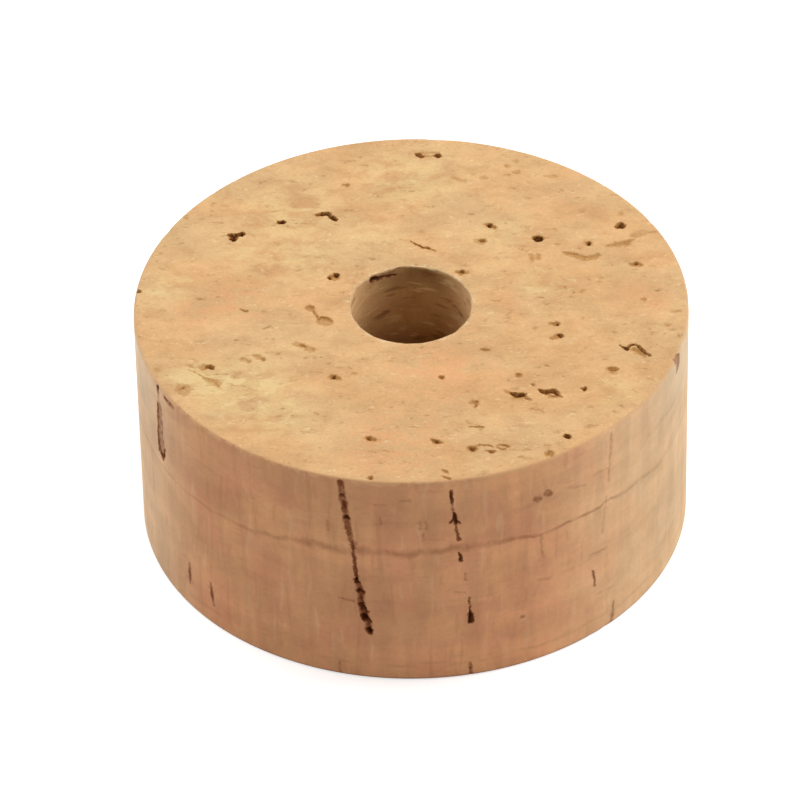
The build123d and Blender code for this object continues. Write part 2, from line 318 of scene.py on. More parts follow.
# Their ribbon and its blots: darkness, spacing, thickness in mm, and the number up to which one is left out
ribbon_darkness = 0.42
blot_spacing = 0.42 * mm
blot_thickness = 0.24
blot_left_out = 0.45

# Tear under the bore's upper mouth and a faint mark, written as the wall's channels are
bore_pores = [
    (0.8, [(132, 0.985, 0.28), (124, 0.979, 0.24), (114, 0.974, 0.18), (103, 0.972, 0.06)]),
    (0.4, [(325, 0.78, 0.15), (322, 0.72, 0.2)]),
]

# Broad patches of the upper face: x, y and reach in mm, and strength
colour_patches = {
    "cream": [
        (-8.5, -6.5, 3.5, 1.0), (-11.0, -5.5, 2.0, 0.8), (-7.0, -8.5, 2.5, 0.9), (-12.2, 1.8, 1.8, 0.8),
        (-8.3, 4.4, 2.5, 0.4), (6.7, 1.4, 1.8, 0.6), (10.0, -7.5, 2.0, 0.4),
    ],
    "gold": [
        (-6.0, 8.0, 4.0, 0.9), (0.0, 10.5, 4.0, 0.9), (-5.5, 4.0, 3.0, 0.9), (-2.2, 5.8, 2.5, 0.6),
        (4.9, 5.8, 2.0, 0.6),
    ],
    "rose": [
        (-8.6, 0.6, 2.5, 0.9), (-11.0, 0.0, 2.0, 0.6), (1.4, -5.3, 4.0, 0.8), (-1.0, -11.0, 4.0, 0.9),
        (11.7, 0.1, 2.0, 0.7), (7.4, 8.6, 3.0, 0.3), (5.0, 0.5, 1.5, 0.5),
    ],
}

# Main growth line round the wall: bearing, height share, half width in mm, strength
growth_path = [
    (20, 0.65, 0.10, 0.35), (60, 0.62, 0.10, 0.35), (100, 0.66, 0.16, 0.44), (140, 0.63, 0.10, 0.35),
    (175, 0.61, 0.12, 0.20), (205, 0.595, 0.12, 0.22), (225, 0.60, 0.12, 0.22), (240, 0.62, 0.15, 0.32),
    (246, 0.645, 0.24, 0.43), (256, 0.64, 0.26, 0.44), (265, 0.655, 0.26, 0.44), (268, 0.64, 0.26, 0.44),
    (271, 0.655, 0.25, 0.44), (283, 0.66, 0.21, 0.46), (291, 0.655, 0.14, 0.46), (296, 0.636, 0.11, 0.50),
    (304, 0.645, 0.10, 0.54), (311, 0.638, 0.10, 0.54), (312, 0.652, 0.10, 0.50), (317, 0.631, 0.12, 0.36),
    (323, 0.629, 0.13, 0.28), (330, 0.60, 0.12, 0.18), (345, 0.62, 0.12, 0.18),
]

# Faint growth lines of the wall: height share, wander of the line in mm, half width in mm, strength
growth_lines = [(0.40, 0.9, 0.2, 0.10), (0.07, 0.8, 0.2, 0.12), (0.80, 0.9, 0.3, 0.10)]

# Camera, fitted to the four visible circles: the frame is 800 pixels square
frame_pixels = 800
focal_pixels = 6366
sensor_width = 36
camera_elevation = math.radians(38.4)
camera_distance = 321 * mm
camera_roll = math.radians(-1.12)
target_pixel = (411, 305)
camera_near = 10 * mm

# Surroundings: floor from middle to side in metres, its grey, its own light where seen, and the fill
floor_reach = 3.0
floor_grey = 0.86
floor_light = 0.55
world_fill = 0.45

# Weak gloss of bare cork
cork_gloss = 0.12

# Lamps: bearing and elevation in degrees, distance and side in metres, power in watts
lamps = {
    "lamp_above": (90, 75, 0.45, 0.35, 0.27),
    "lamp_right": (15, 30, 0.40, 0.25, 0.95),
    "lamp_left": (150, 30, 0.40, 0.25, 0.65),
}


def smooth(value, low, high):
    """Ease from 0 at low to 1 at high."""
    share = np.clip((value - low) / (high - low), 0, 1)
    return share * share * (3 - 2 * share)


def tip_to_tip(stroke):
    """A stroke drawn in, so that its round ends stop at its first and last points."""
    for end, inner in ((0, 1), (-1, -2)):
        along = stroke[inner, :2] - stroke[end, :2]
        length = np.linalg.norm(along)
        stroke[end, :2] += along / length * min(stroke[end, 2] / 2, most_drawn_in * length)
    return stroke


def depth_of(dark):
    """Depth of a pore: stains have none, and the darkest pores are the deepest."""
    return deepest_pore * max(0, dark - stain_darkness) / (1 - stain_darkness)


def in_metres(pores, scale):
    """Pores with their depths, and their strokes scaled to flat places in metres."""
    return [(dark, depth_of(dark), tip_to_tip(np.array(stroke) * scale)) for dark, stroke in pores]


def on_round(pores, radius):
    """Pores of a round wall, unrolled to flat (arc, height) places."""
    return in_metres(pores, (math.radians(1) * radius, height, mm))


def uneven(bearing, step, row, least=0.0, most=1.0):
    """A fixed irregular number from least to most for one step of a channel."""
    share = 0.5 + 0.5 * noise.noise((0.37 * bearing, 0.83 * step + 0.4, 5.3 * row + 0.3))
    return least + (most - least) * share


def channel(bearing, top, bottom, width):
    """Pores of a leaning channel: an uneven brown ribbon, broken by dark blots across it."""
    drop = (top - bottom) * height
    steps = round(drop / blot_spacing)
    degrees_per_mm = math.degrees(mm / outer_radius)
    lean = -math.sin(math.radians(bearing)) * pore_lean
    ribbon, blots = [], []
    for step in range(steps + 1):
        fallen = drop * step / steps
        sway = width * uneven(bearing, step, 0, -0.6, 0.6)
        middle = bearing + (lean * fallen / mm + sway) * degrees_per_mm
        level = top - fallen / height
        ribbon.append((middle, level, width * uneven(bearing, step, 1, 0.25, 1.0)))
        if uneven(bearing, step, 2) > blot_left_out:
            half = width * uneven(bearing, step, 3, 0.1, 0.6) * degrees_per_mm
            tilt = uneven(bearing, step, 4, -0.015, 0.015)
            thick = blot_thickness * uneven(bearing, step, 5, 0.6, 1.4)
            left = (middle - half, level + tilt, 0.8 * thick)
            right = (middle + half, level - tilt, thick)
            blots.append((uneven(bearing, step, 6, 0.55, 1.0), [left, right]))
    return [(ribbon_darkness, ribbon)] + blots


def comes_out_below(pore):
    """Whether a face pore runs on through the disc, clear of its bore and its wall."""
    dark, stroke = pore
    gone = height * pore_lean / mm
    radii = [math.hypot(x + gone, y) * mm for x, y, width in stroke]
    return dark >= through_darkness and min(radii) > bore_radius + mm and max(radii) < outer_radius - mm


def end_chart(co, level, up, shift=0):
    """Flat places on an end face, depths below it and the way into the cork."""
    inward = np.zeros_like(co)
    inward[:, 2] = -up
    return co[:, :2] - (shift, 0), up * (level - co[:, 2]), inward


def round_chart(co, radius, out):
    """Flat places on a round wall, depths below it and the way into the cork."""
    across = np.hypot(co[:, 0], co[:, 1])
    bearing = np.arctan2(co[:, 1], co[:, 0]) % (2 * math.pi)
    inward = np.zeros_like(co)
    inward[:, :2] = -out * co[:, :2] / across[:, None]
    return np.column_stack((bearing * radius, co[:, 2])), out * (radius - across), inward


def inside_stroke(places, stroke):
    """How far inside a stroke each flat place lies, negative outside."""
    best = np.full(len(places), -np.inf)
    for start, end in zip(stroke, stroke[1:]):
        along = end[:2] - start[:2]
        share = np.clip((places - start[:2]) @ along / (along @ along), 0, 1)
        gap = np.linalg.norm(places - start[:2] - share[:, None] * along, axis=1)
        best = np.maximum(best, (start[2] + share * (end[2] - start[2])) / 2 - gap)
    return best


class Pores:
    """How deep the pores of one surface are at some flat places, and how far inside a pore those lie."""

    def __init__(self, places, pores):
        self.depth = np.zeros(len(places))
        self.inside = {kind: np.full(len(places), -far_from_pores) for kind in kinds}
        self.dark = {kind: np.zeros(len(places)) for kind in kinds}
        for dark, depth, stroke in pores:
            kind = "deep" if dark >= deep_darkness else "faint"
            reach = far_from_pores + stroke[:, 2].max()
            lowest, highest = stroke[:, :2].min(0) - reach, stroke[:, :2].max(0) + reach
            near = np.flatnonzero(((places > lowest) & (places < highest)).all(axis=1))
            inside = inside_stroke(places[near], stroke)
            self.depth[near] = np.maximum(self.depth[near], depth * smooth(inside, 0, pore_wall))
            closer = inside > self.inside[kind][near]
            self.inside[kind][near[closer]] = inside[closer]
            self.dark[kind][near[closer]] = dark

    def nearest(self):
        """How far inside the nearest pore of either kind each place lies."""
        return np.maximum(*self.inside.values())


upper_pores = in_metres(face_pores, mm)
lower_pores = in_metres([pore for pore in face_pores if comes_out_below(pore)], mm)
back_pores = [pore for place in back_channels for pore in channel(*place)]
outer_pores = on_round(wall_pores + back_pores, outer_radius)
inner_pores = on_round(bore_pores, bore_radius)


def wander(co):
    """Small ragged shift of every place, so that pore edges are torn and not drawn."""
    return edge_wander * np.array([noise.noise_vector(Vector(place) * edge_grain) for place in co])


def pore_layers(co):
    """The pores of each surface at the points of the plain disc, with their depths and directions."""
    shift = wander(co)
    charts = [
        (end_chart(co, height, 1), upper_pores, shift[:, :2]),
        (end_chart(co, 0, -1, height * pore_lean), lower_pores, shift[:, :2]),
        (round_chart(co, outer_radius, 1), outer_pores, shift[:, ::2]),
        (round_chart(co, bore_radius, -1), inner_pores, shift[:, ::2]),
    ]
    layers = []
    for (places, below, inward), pores, torn in charts:
        weight = 1 - smooth(below, 0, pore_reach)
        layers.append((Pores(places + torn, pores), weight, below, inward))
    return layers


def profile():
    """Closed section of the plain disc as (radius, height) points."""
    rounds = [
        (outer_radius - rim_round, height - rim_round, rim_round, 90),
        (outer_radius - rim_round, rim_round, rim_round, 0),
        (bore_radius + mouth_round, mouth_round, mouth_round, -90),
        (bore_radius + mouth_round, height - mouth_round, mouth_round, -180),
    ]
    corners = []
    for r, z, radius, start in rounds:
        for step in range(round_steps + 1):
            angle = math.radians(start - 90 * step / round_steps)
            corners.append(Vector((r + radius * math.cos(angle), z + radius * math.sin(angle))))
    points = []
    for start, end in zip(corners, corners[1:] + corners[:1]):
        steps = max(1, round((end - start).length / plain_edge))
        points += [start.lerp(end, step / steps) for step in range(steps)]
    return points


def turned_disc():
    """Points and triangles of the plain disc, turned from its section."""
    section = np.array(profile())
    segments = round(2 * math.pi * outer_radius / plain_edge)
    turned = np.repeat(2 * math.pi * np.arange(segments) / segments, len(section))
    radii, heights = np.tile(section, (segments, 1)).T
    points = np.column_stack((radii * np.cos(turned), radii * np.sin(turned), heights))
    here = np.arange(len(points)).reshape(segments, -1)
    following = np.roll(here, -1, axis=0)
    before, following_before = np.roll(here, 1, axis=1), np.roll(following, 1, axis=1)
    halves = [(before, here, following), (before, following, following_before)]
    return points, np.concatenate([np.stack(half, axis=2).reshape(-1, 3) for half in halves])


def wanted_edges(co):
    """Longest edge wanted at each point: short in the pores, longer away from them."""
    wanted = np.full(len(co), plain_edge)
    for pores, weight, below, inward in pore_layers(co):
        outside = np.maximum(-pores.nearest(), below) - pore_wall
        wanted = np.minimum(wanted, pore_edge + edge_growth * np.maximum(outside, 0))
    across = np.hypot(co[:, 0], co[:, 1])
    from_rim = np.maximum(outer_radius - across, np.minimum(co[:, 2], height - co[:, 2]))
    wanted = np.minimum(wanted, rim_edge + edge_growth * np.maximum(from_rim - rim_edge, 0))
    return wanted


def turned_round(rows, turns):
    """Rows of three, each turned round so that its own place comes first."""
    return np.take_along_axis(rows, (np.arange(3) + turns[:, None]) % 3, axis=1)


def split_triangles(triangles, middles):
    """The triangles split at the middles of their sides, where a middle below 0 is a side left whole."""
    split = middles >= 0
    count = split.sum(axis=1)
    first_split = np.where(count == 2, split.argmin(axis=1) + 1, split.argmax(axis=1))
    a, b, c = turned_round(triangles, first_split).T
    ab, bc, ca = turned_round(middles, first_split).T
    fans = [
        [(a, b, c)],
        [(a, ab, c), (ab, b, c)],
        [(ab, b, bc), (a, ab, bc), (a, bc, c)],
        [(a, ab, ca), (ab, b, bc), (ca, bc, c), (ab, bc, ca)],
    ]
    parts = [np.column_stack(part)[count == sides] for sides, fan in enumerate(fans) for part in fan]
    return np.concatenate(parts)


def refine(points, triangles):
    """The mesh with a point in the middle of each edge that is too long for the pores it lies in."""
    sides = np.sort(np.stack((triangles, np.roll(triangles, -1, axis=1)), axis=2), axis=2)
    keys, edge = np.unique(sides[:, :, 0] * len(points) + sides[:, :, 1], return_inverse=True)
    ends = points[np.column_stack((keys // len(points), keys % len(points)))]
    middles = ends.mean(axis=1)
    too_long = np.linalg.norm(ends[:, 0] - ends[:, 1], axis=1) > longest_share * wanted_edges(middles)
    number = np.where(too_long, len(points) + np.cumsum(too_long) - 1, -1)
    triangles = split_triangles(triangles, number[edge.reshape(-1, 3)])
    return np.concatenate((points, middles[too_long])), triangles


def grained(co, per_mm):
    """Smooth noise at each point, with a number of cells for each millimetre."""
    return np.array([noise.noise(place) for place in (co / mm * per_mm).tolist()])


def wear(flat):
    """Shift of each point where the bore is torn, its mouths are crumbled and the rims are nicked."""
    across = np.hypot(flat[:, 0], flat[:, 1])
    in_bore = 1 - smooth(across - bore_radius, 0, wear_reach)
    at_wall = 1 - smooth(outer_radius - across, 0, wear_reach)
    at_end = 1 - smooth(np.minimum(flat[:, 2], height - flat[:, 2]), 0, wear_reach)
    torn = tear_depth * smooth(grained(flat, tear_grain), 0.2, 0.6)
    bites = grained(flat, bite_grain)
    crumbled = bite_depth * smooth(bites, 0.0, 0.6) - crumb_height * smooth(-bites, 0.25, 0.6)
    nicked = nick_depth * smooth(grained(flat, nick_grain), 0.3, 0.7) * at_wall * at_end
    outward = (torn + crumbled * at_end) * in_bore - nicked
    shift = flat * (outward / across)[:, None]
    shift[:, 2] = -np.sign(flat[:, 2] - height / 2) * nicked
    return shift


def carve(flat):
    """Places of the finished disc's points, and how far inside a pore of each kind they lie."""
    moved = flat + wear(flat)
    inside = {kind: np.full(len(flat), -far_from_pores) for kind in kinds}
    dark = {kind: np.zeros(len(flat)) for kind in kinds}
    for pores, weight, below, inward in pore_layers(flat):
        moved += inward * (pores.depth * weight)[:, None]
        for kind in kinds:
            depth = pores.inside[kind] - below
            closer = depth > inside[kind]
            inside[kind][closer] = depth[closer]
            dark[kind][closer] = pores.dark[kind][closer]
    return moved, inside, dark


def patches(flat, spots):
    """Broad soft patches on the upper face, from 0 to 1."""
    value = np.zeros(len(flat))
    for x, y, reach, strength in spots:
        gap = np.hypot(flat[:, 0] - x * mm, flat[:, 1] - y * mm)
        value = np.maximum(value, strength * (1 - smooth(gap, 0.2 * reach * mm, reach * mm)))
    return value


def growth(flat):
    """Height of each point above the main growth line, in its half widths, and the line's strength."""
    bearing = np.degrees(np.arctan2(flat[:, 1], flat[:, 0]))
    bearings, *columns = np.array(growth_path).T
    level, half_width, strength = [np.interp(bearing, bearings, column, period=360) for column in columns]
    return (flat[:, 2] - level * height) / (half_width * mm), strength


def regions(centres):
    """Region of each face from its centre: 0 upper end, 1 lower end, 2 wall, 3 bore."""
    across = np.hypot(centres[:, 0], centres[:, 1])
    tiny = mm / 1000
    region = np.where(across > outer_radius - rim_round - tiny, 2, 3)
    region = np.where(centres[:, 2] > height - tiny, 0, region)
    return np.where(centres[:, 2] < tiny, 1, region)


def unwrap(mesh, flat, corners, region):
    """Lay every region flat on one square sheet, all at one scale."""
    gap = sheet_gap
    points = flat[corners]
    centres = points.mean(axis=1)
    bearing = np.arctan2(centres[:, 1], centres[:, 0]) % (2 * math.pi)
    turn = np.arctan2(points[:, :, 1], points[:, :, 0]) - bearing[:, None]
    turn = (turn + math.pi) % (2 * math.pi) - math.pi + bearing[:, None]
    z = points[:, :, 2]
    strip = 2 * outer_radius + 2 * gap
    ends = points[:, :, :2] + outer_radius + gap
    behind = (bearing < math.pi)[:, None]
    wall_u = gap + outer_radius * np.where(behind, turn, turn - math.pi)
    wall_v = strip + z + np.where(behind, height + gap, 0)
    bore_u = 2 * gap + math.pi * outer_radius + z
    bore_v = strip + bore_radius * turn
    places = np.stack([
        ends,
        ends + (2 * outer_radius + gap, 0),
        np.stack((wall_u, wall_v), axis=2),
        np.stack((bore_u, bore_v), axis=2),
    ])
    chosen = places[region, np.arange(len(region))]
    layer = mesh.uv_layers.new(name="OFBake")
    layer.data.foreach_set("uv", (chosen / sheet_side).astype(np.float32).ravel())


def point_values(mesh, name, values):
    """Keep one number for each point, for the materials to read."""
    layer = mesh.attributes.new(name, "FLOAT", "POINT")
    layer.data.foreach_set("value", values.astype(np.float32))


def cork_body(materials):
    """The whole disc as one mesh, with its pores, its patches and its three cut surfaces."""
    flat, corners = turned_disc()
    for step in range(refine_rounds):
        flat, corners = refine(flat, corners)
    region = regions(flat[corners].mean(axis=1))
    moved, inside, dark = carve(flat)
    mesh = bpy.data.meshes.new("cork_body")
    mesh.from_pydata(moved.tolist(), [], corners.tolist())
    for kind in kinds:
        point_values(mesh, kind + "_inside", inside[kind] / mm)
        point_values(mesh, kind + "_dark", dark[kind])
    for name, spots in colour_patches.items():
        point_values(mesh, name, patches(flat, spots))
    for name, values in zip(("growth_offset", "growth_strength"), growth(flat)):
        point_values(mesh, name, values)
    unwrap(mesh, flat, corners, region)

    for material in materials:
        mesh.materials.append(material)
    mesh.polygons.foreach_set("material_index", np.array([0, 0, 1, 2], np.int32)[region])
    mesh.polygons.foreach_set("use_smooth", np.ones(len(mesh.polygons), bool))
    mesh.update()
    piece = bpy.data.objects.new("cork_body", mesh)
    bpy.context.scene.collection.objects.link(piece)
    return piece


def colour(code):
    """Linear colour of a six-digit colour code."""
    parts = [int(code[start:start + 2], 16) / 255 for start in (0, 2, 4)]
    return [part / 12.92 if part <= 0.04045 else ((part + 0.055) / 1.055) ** 2.4 for part in parts] + [1]


class Nodes:
    """The nodes of a material or a world."""

    def __init__(self, owner):
        owner.use_nodes = True
        self.tree = owner.node_tree

    def feed(self, node, inputs):
        """Give a node its inputs, as values or as the sockets that feed them."""
        for name, value in inputs.items():
            if isinstance(value, bpy.types.NodeSocket):
                self.tree.links.new(value, node.inputs[name])
            else:
                node.inputs[name].default_value = value

    def add(self, kind, inputs, **settings):
        """A new node with its inputs and settings."""
        made = self.tree.nodes.new("ShaderNode" + kind)
        for name, value in settings.items():
            setattr(made, name, value)
        self.feed(made, inputs)
        return made

    def calculate(self, operation, *values):
        """What one operation makes of numbers or sockets."""
        return self.add("Math", dict(enumerate(values)), operation=operation).outputs[0]

    def times(self, first, second):
        """The product of two numbers or sockets."""
        return self.calculate("MULTIPLY", first, second)

    def plus(self, first, second):
        """The sum of two numbers or sockets."""
        return self.calculate("ADD", first, second)


class Finish(Nodes):
    """One of the cork's materials, with places in millimetres."""

    def __init__(self, name):
        self.material = bpy.data.materials.new(name)
        super().__init__(self.material)
        metres = self.add("TexCoord", {}).outputs["Object"]
        self.place = self.scaled(metres, (1 / mm, 1 / mm, 1 / mm))
        self.x, self.y, self.z = self.add("SeparateXYZ", {0: self.place}).outputs

    def scaled(self, vector, scale):
        """A vector with each axis scaled by itself."""
        return self.add("VectorMath", {0: vector, 1: scale}, operation="MULTIPLY").outputs[0]

    def grain(self, per_mm, detail=2.0, rough=0.5, distortion=0.0):
        """Noise with its own number of cells for each millimetre along X, Y and Z."""
        inputs = {"Vector": self.scaled(self.place, per_mm), "Scale": 1.0, "Detail": detail,
                  "Roughness": rough, "Distortion": distortion}
        return self.add("TexNoise", inputs).outputs["Fac"]

    def swing(self, per_mm, detail, rough):
        """Noise that swings about 0."""
        return self.calculate("SUBTRACT", self.grain(per_mm, detail, rough), 0.5)

    def ease(self, value, low, high, start=0.0, end=1.0):
        """Ease from start where the value is low to end where it is high."""
        inputs = {"Value": value, "From Min": low, "From Max": high, "To Min": start, "To Max": end}
        return self.add("MapRange", inputs, interpolation_type="SMOOTHSTEP").outputs["Result"]

    def blend(self, share, first, second):
        """Mix from the first colour to the second, each given as a socket or as a code."""
        first, second = [colour(tint) if isinstance(tint, str) else tint for tint in (first, second)]
        return self.add("Mix", {0: share, 6: first, 7: second}, data_type="RGBA").outputs[2]

    def tone(self, tint, factor):
        """A colour made lighter or darker by a factor."""
        return self.add("VectorMath", {0: tint, "Scale": factor}, operation="SCALE").outputs[0]

    def value(self, name):
        """A number kept at the mesh's points."""
        return self.add("Attribute", {}, attribute_name=name).outputs["Fac"]

    def stained(self, tint, share, brown, dark):
        """A tint on its way to a brown, and past that to the dark of a deep pore."""
        tint = self.blend(self.times(share, 2.0), tint, brown)
        past = self.add("MapRange", {"Value": share, "From Min": 0.5}).outputs["Result"]
        return self.blend(past, tint, dark)

    def pores(self, tint, ragged, brown, dark):
        """The faint pores, as ragged as asked, and then the deep ones, with a blotched lining."""
        torn = self.swing((6, 6, 6), 3, 0.6)
        blotches = self.ease(self.grain((4.5, 4.5, 4.5), 2, 0.6), 0.3, 0.7, 0.65, 1.2)
        for kind, torn_by, start, end in (("faint", ragged, -0.10, 0.06), ("deep", 0.22, -0.07, 0.04)):
            inside = self.plus(self.value(kind + "_inside"), self.times(torn, torn_by))
            share = self.times(self.ease(inside, start, end), self.value(kind + "_dark"))
            tint = self.stained(tint, self.times(share, blotches), brown, dark)
        return tint

    def finish(self, tint, relief, strength, roughness):
        """Wire the colour and the relief, in millimetres, to the shader."""
        normal = self.add("Bump", {"Height": relief, "Strength": strength, "Distance": mm}).outputs["Normal"]
        self.feed(self.tree.nodes["Principled BSDF"], {
            "Base Color": tint,
            "Normal": normal,
            "Roughness": roughness,
            "Specular IOR Level": cork_gloss,
        })
        return self.material


def cream_flakes(cork, tint, mottle):
    """The cream patches of the upper face, with brown gaps between their flakes, partly painted shadow of
    the flakes.
    """
    cream = cork.value("cream")
    flakes = cork.grain((0.55, 0.95, 0.9), 4, 0.55, 0.3)
    # Brown gaps between the flakes: partly the cork's own brown, partly painted shadow of the flakes.
    tint = cork.blend(cork.times(cream, cork.ease(flakes, 0.3, 0.44, 0.4, 0.0)), tint, "c08f58")
    tint = cork.blend(cork.times(cream, cork.ease(mottle, 0.4, 0.6, 0.0, 0.6)), tint, "e8c88c")
    return cork.blend(cork.times(cream, cork.ease(flakes, 0.5, 0.58, 0.0, 0.85)), tint, "efd096")


def mouth_crumbs(cork):
    """Share of the pale crumbs round the bore's two mouths."""
    flat = cork.scaled(cork.place, (1, 1, 0))
    from_axis = cork.add("VectorMath", {0: flat}, operation="LENGTH").outputs["Value"]
    at_mouth = cork.ease(from_axis, bore_mm, bore_mm + 0.35, 1.0, 0.0)
    return cork.times(at_mouth, cork.ease(cork.grain((2.2, 2.2, 2.2), 3, 0.65), 0.5, 0.62, 0.0, 0.8))


def end_finish():
    """Cut across the layers: soft golden patches, clumps of brown dashes, pale flecks and fine crumbs."""
    cork = Finish("cork_end")
    broad = cork.grain((0.2, 0.26, 0.3), 3, 0.55, 0.5)
    mottle = cork.grain((0.8, 1.2, 1.0), 3, 0.6, 0.5)
    clumps = cork.grain((0.3, 0.45, 0.4), 2, 0.5)
    dashes = cork.grain((1.7, 3.0, 3.0), 3, 0.6, 0.3)
    flecks = cork.grain((2.6, 4.2, 3.0), 2, 0.6, 0.6)
    crumbs = cork.grain((6, 7, 6), 3, 0.6)
    patchy = cork.ease(mottle, 0.35, 0.6)
    tint = cork.blend(cork.ease(broad, 0.35, 0.65), "e1b17c", "e3ba86")
    tint = cork.blend(cork.times(cork.value("gold"), patchy), tint, "e6c28a")
    tint = cork.blend(cork.times(cork.value("rose"), patchy), tint, "e2a977")
    tint = cork.blend(cork.ease(mottle, 0.25, 0.55, 0.28, 0.0), tint, "d69e68")
    tint = cork.tone(tint, cork.ease(mottle, 0.25, 0.75, 0.95, 1.06))
    tint = cork.tone(tint, cork.ease(clumps, 0.3, 0.7, 1.06, 0.925))
    tint = cream_flakes(cork, tint, mottle)
    brown = cork.times(cork.ease(dashes, 0.27, 0.42, 0.65, 0.0), cork.ease(clumps, 0.35, 0.65, 0.3, 1.0))
    tint = cork.blend(brown, tint, "a06c37")
    tint = cork.blend(cork.ease(flecks, 0.62, 0.72, 0.0, 0.5), tint, "f3d6a4")
    tint = cork.blend(mouth_crumbs(cork), tint, "f3dcb4")
    tint = cork.tone(tint, cork.ease(crumbs, 0.25, 0.75, 0.94, 1.05))
    relief = cork.plus(cork.times(dashes, 0.05), cork.times(crumbs, 0.04))
    return cork.finish(cork.pores(tint, 0.32, "b78246", "64330a"), relief, 0.5, 0.75)


def main_growth_line(cork):
    """Darkness of the main growth line, which is soft, unsteady and broken."""
    wobble = cork.times(cork.swing((1.0, 1.0, 0.5), 3, 0.65), 3.5)
    gap = cork.calculate("ABSOLUTE", cork.plus(cork.value("growth_offset"), wobble))
    broken = cork.ease(cork.grain((1.5, 1.5, 1.0), 3, 0.6), 0.3, 0.6, 0.3, 1.0)
    line = cork.times(cork.ease(gap, 0.0, 1.6, 1.0, 0.0), cork.value("growth_strength"))
    return cork.times(line, broken)


def growth_line(cork, bend, share, stray, half_width, strength):
    """Darkness of one wandering, broken growth line of the wall."""
    above = cork.calculate("SUBTRACT", cork.z, share * height_mm)
    gap = cork.calculate("ABSOLUTE", cork.plus(above, cork.times(bend, stray)))
    broken = cork.ease(cork.grain((0.5, 0.5, 0.1 + share), 4, 0.65), 0.42, 0.65)
    soft = cork.ease(gap, 0, half_width, strength, 0)
    core = cork.ease(gap, 0, half_width / 3, strength / 2, 0)
    return cork.times(cork.plus(soft, core), broken)


def crumbled_edge(cork, rough, full, none, share):
    """Share of the pale crumbs along the upper edge, ragged, by the distance to that edge in mm."""
    below = cork.calculate("SUBTRACT", height_mm, cork.z)
    ragged = cork.times(cork.swing((2.2, 2.2, 2.2), 3, 0.65), rough)
    return cork.ease(cork.plus(below, ragged), full, none, share, 0.0)


def wall_hue_with_painted_light(cork, painted_light_to_right, behind):
    """Colour of the plain wall with light and shade painted in: a redder painted shade in front, painted
    light and sheen at its two sides, plain tan behind with a little painted shade, and painted light low
    down.
    """
    x, y, z, reach = cork.x, cork.y, cork.z, outer_mm
    clouds = cork.ease(cork.grain((0.35, 0.35, 0.3), 3, 0.6, 0.5), 0.35, 0.65)
    # The redder, darker front colour is painted shade; towards the right and behind it gives way to the
    # plain side colour, as painted light.
    painted_shade_front = cork.blend(clouds, "d3956d", "d79e70")
    side = cork.blend(clouds, "d6af84", "dab78d")
    tint = cork.blend(behind, cork.blend(painted_light_to_right, painted_shade_front, side), side)
    # Painted light: paler at the left edge and brighter towards the right; painted shade: a little darker at
    # the far right and darker behind.
    tint = cork.blend(cork.ease(x, -0.72 * reach, -1.0 * reach), tint, "e0b990")
    tint = cork.tone(tint, cork.ease(x, 0.0, 0.6 * reach, 1.0, 1.12))
    tint = cork.tone(tint, cork.ease(x, 0.7 * reach, 0.95 * reach, 1.0, 0.9))
    tint = cork.tone(tint, cork.ease(y, 0.0, 0.6 * reach, 1.0, 0.88))
    # Painted sheen: paler high up at the two sides.
    painted_light_aside = cork.plus(cork.ease(x, 0.8 * reach, 0.97 * reach), cork.ease(x, -0.85 * reach, -0.98 * reach))
    painted_sheen_high_up = cork.ease(z, 0.55 * height_mm, 0.95 * height_mm, 0.0, 0.5)
    tint = cork.blend(cork.times(painted_light_aside, painted_sheen_high_up), tint, "e2cba8")
    # Painted light low down, as if thrown up from the floor, with painted shade at the far left of the foot.
    painted_shade_foot_left = cork.ease(x, -0.95 * reach, -0.77 * reach, 0.85, 1.0)
    painted_light_at_foot = cork.times(cork.ease(x, 0.0, 0.6 * reach, 1.09, 1.01), painted_shade_foot_left)
    return cork.tone(tint, cork.ease(z, 0.0, 0.3 * height_mm, painted_light_at_foot, 1.0))


def fine_lines(cork, tint, share):
    """Faint brown and pale lines of the wall, upright and level."""
    upright = cork.grain((2.2, 2.2, 0.35), 2, 0.5, 0.5)
    level = cork.grain((0.6, 0.6, 2.6), 2, 0.5, 0.5)
    brown = cork.plus(cork.ease(upright, 0.28, 0.42, 0.16, 0.0), cork.ease(level, 0.26, 0.40, 0.14, 0.0))
    pale = cork.ease(upright, 0.58, 0.72, 0.0, 0.2)
    tint = cork.blend(cork.times(share, brown), tint, "96603a")
    return cork.blend(cork.times(share, pale), tint, "e9c49a")


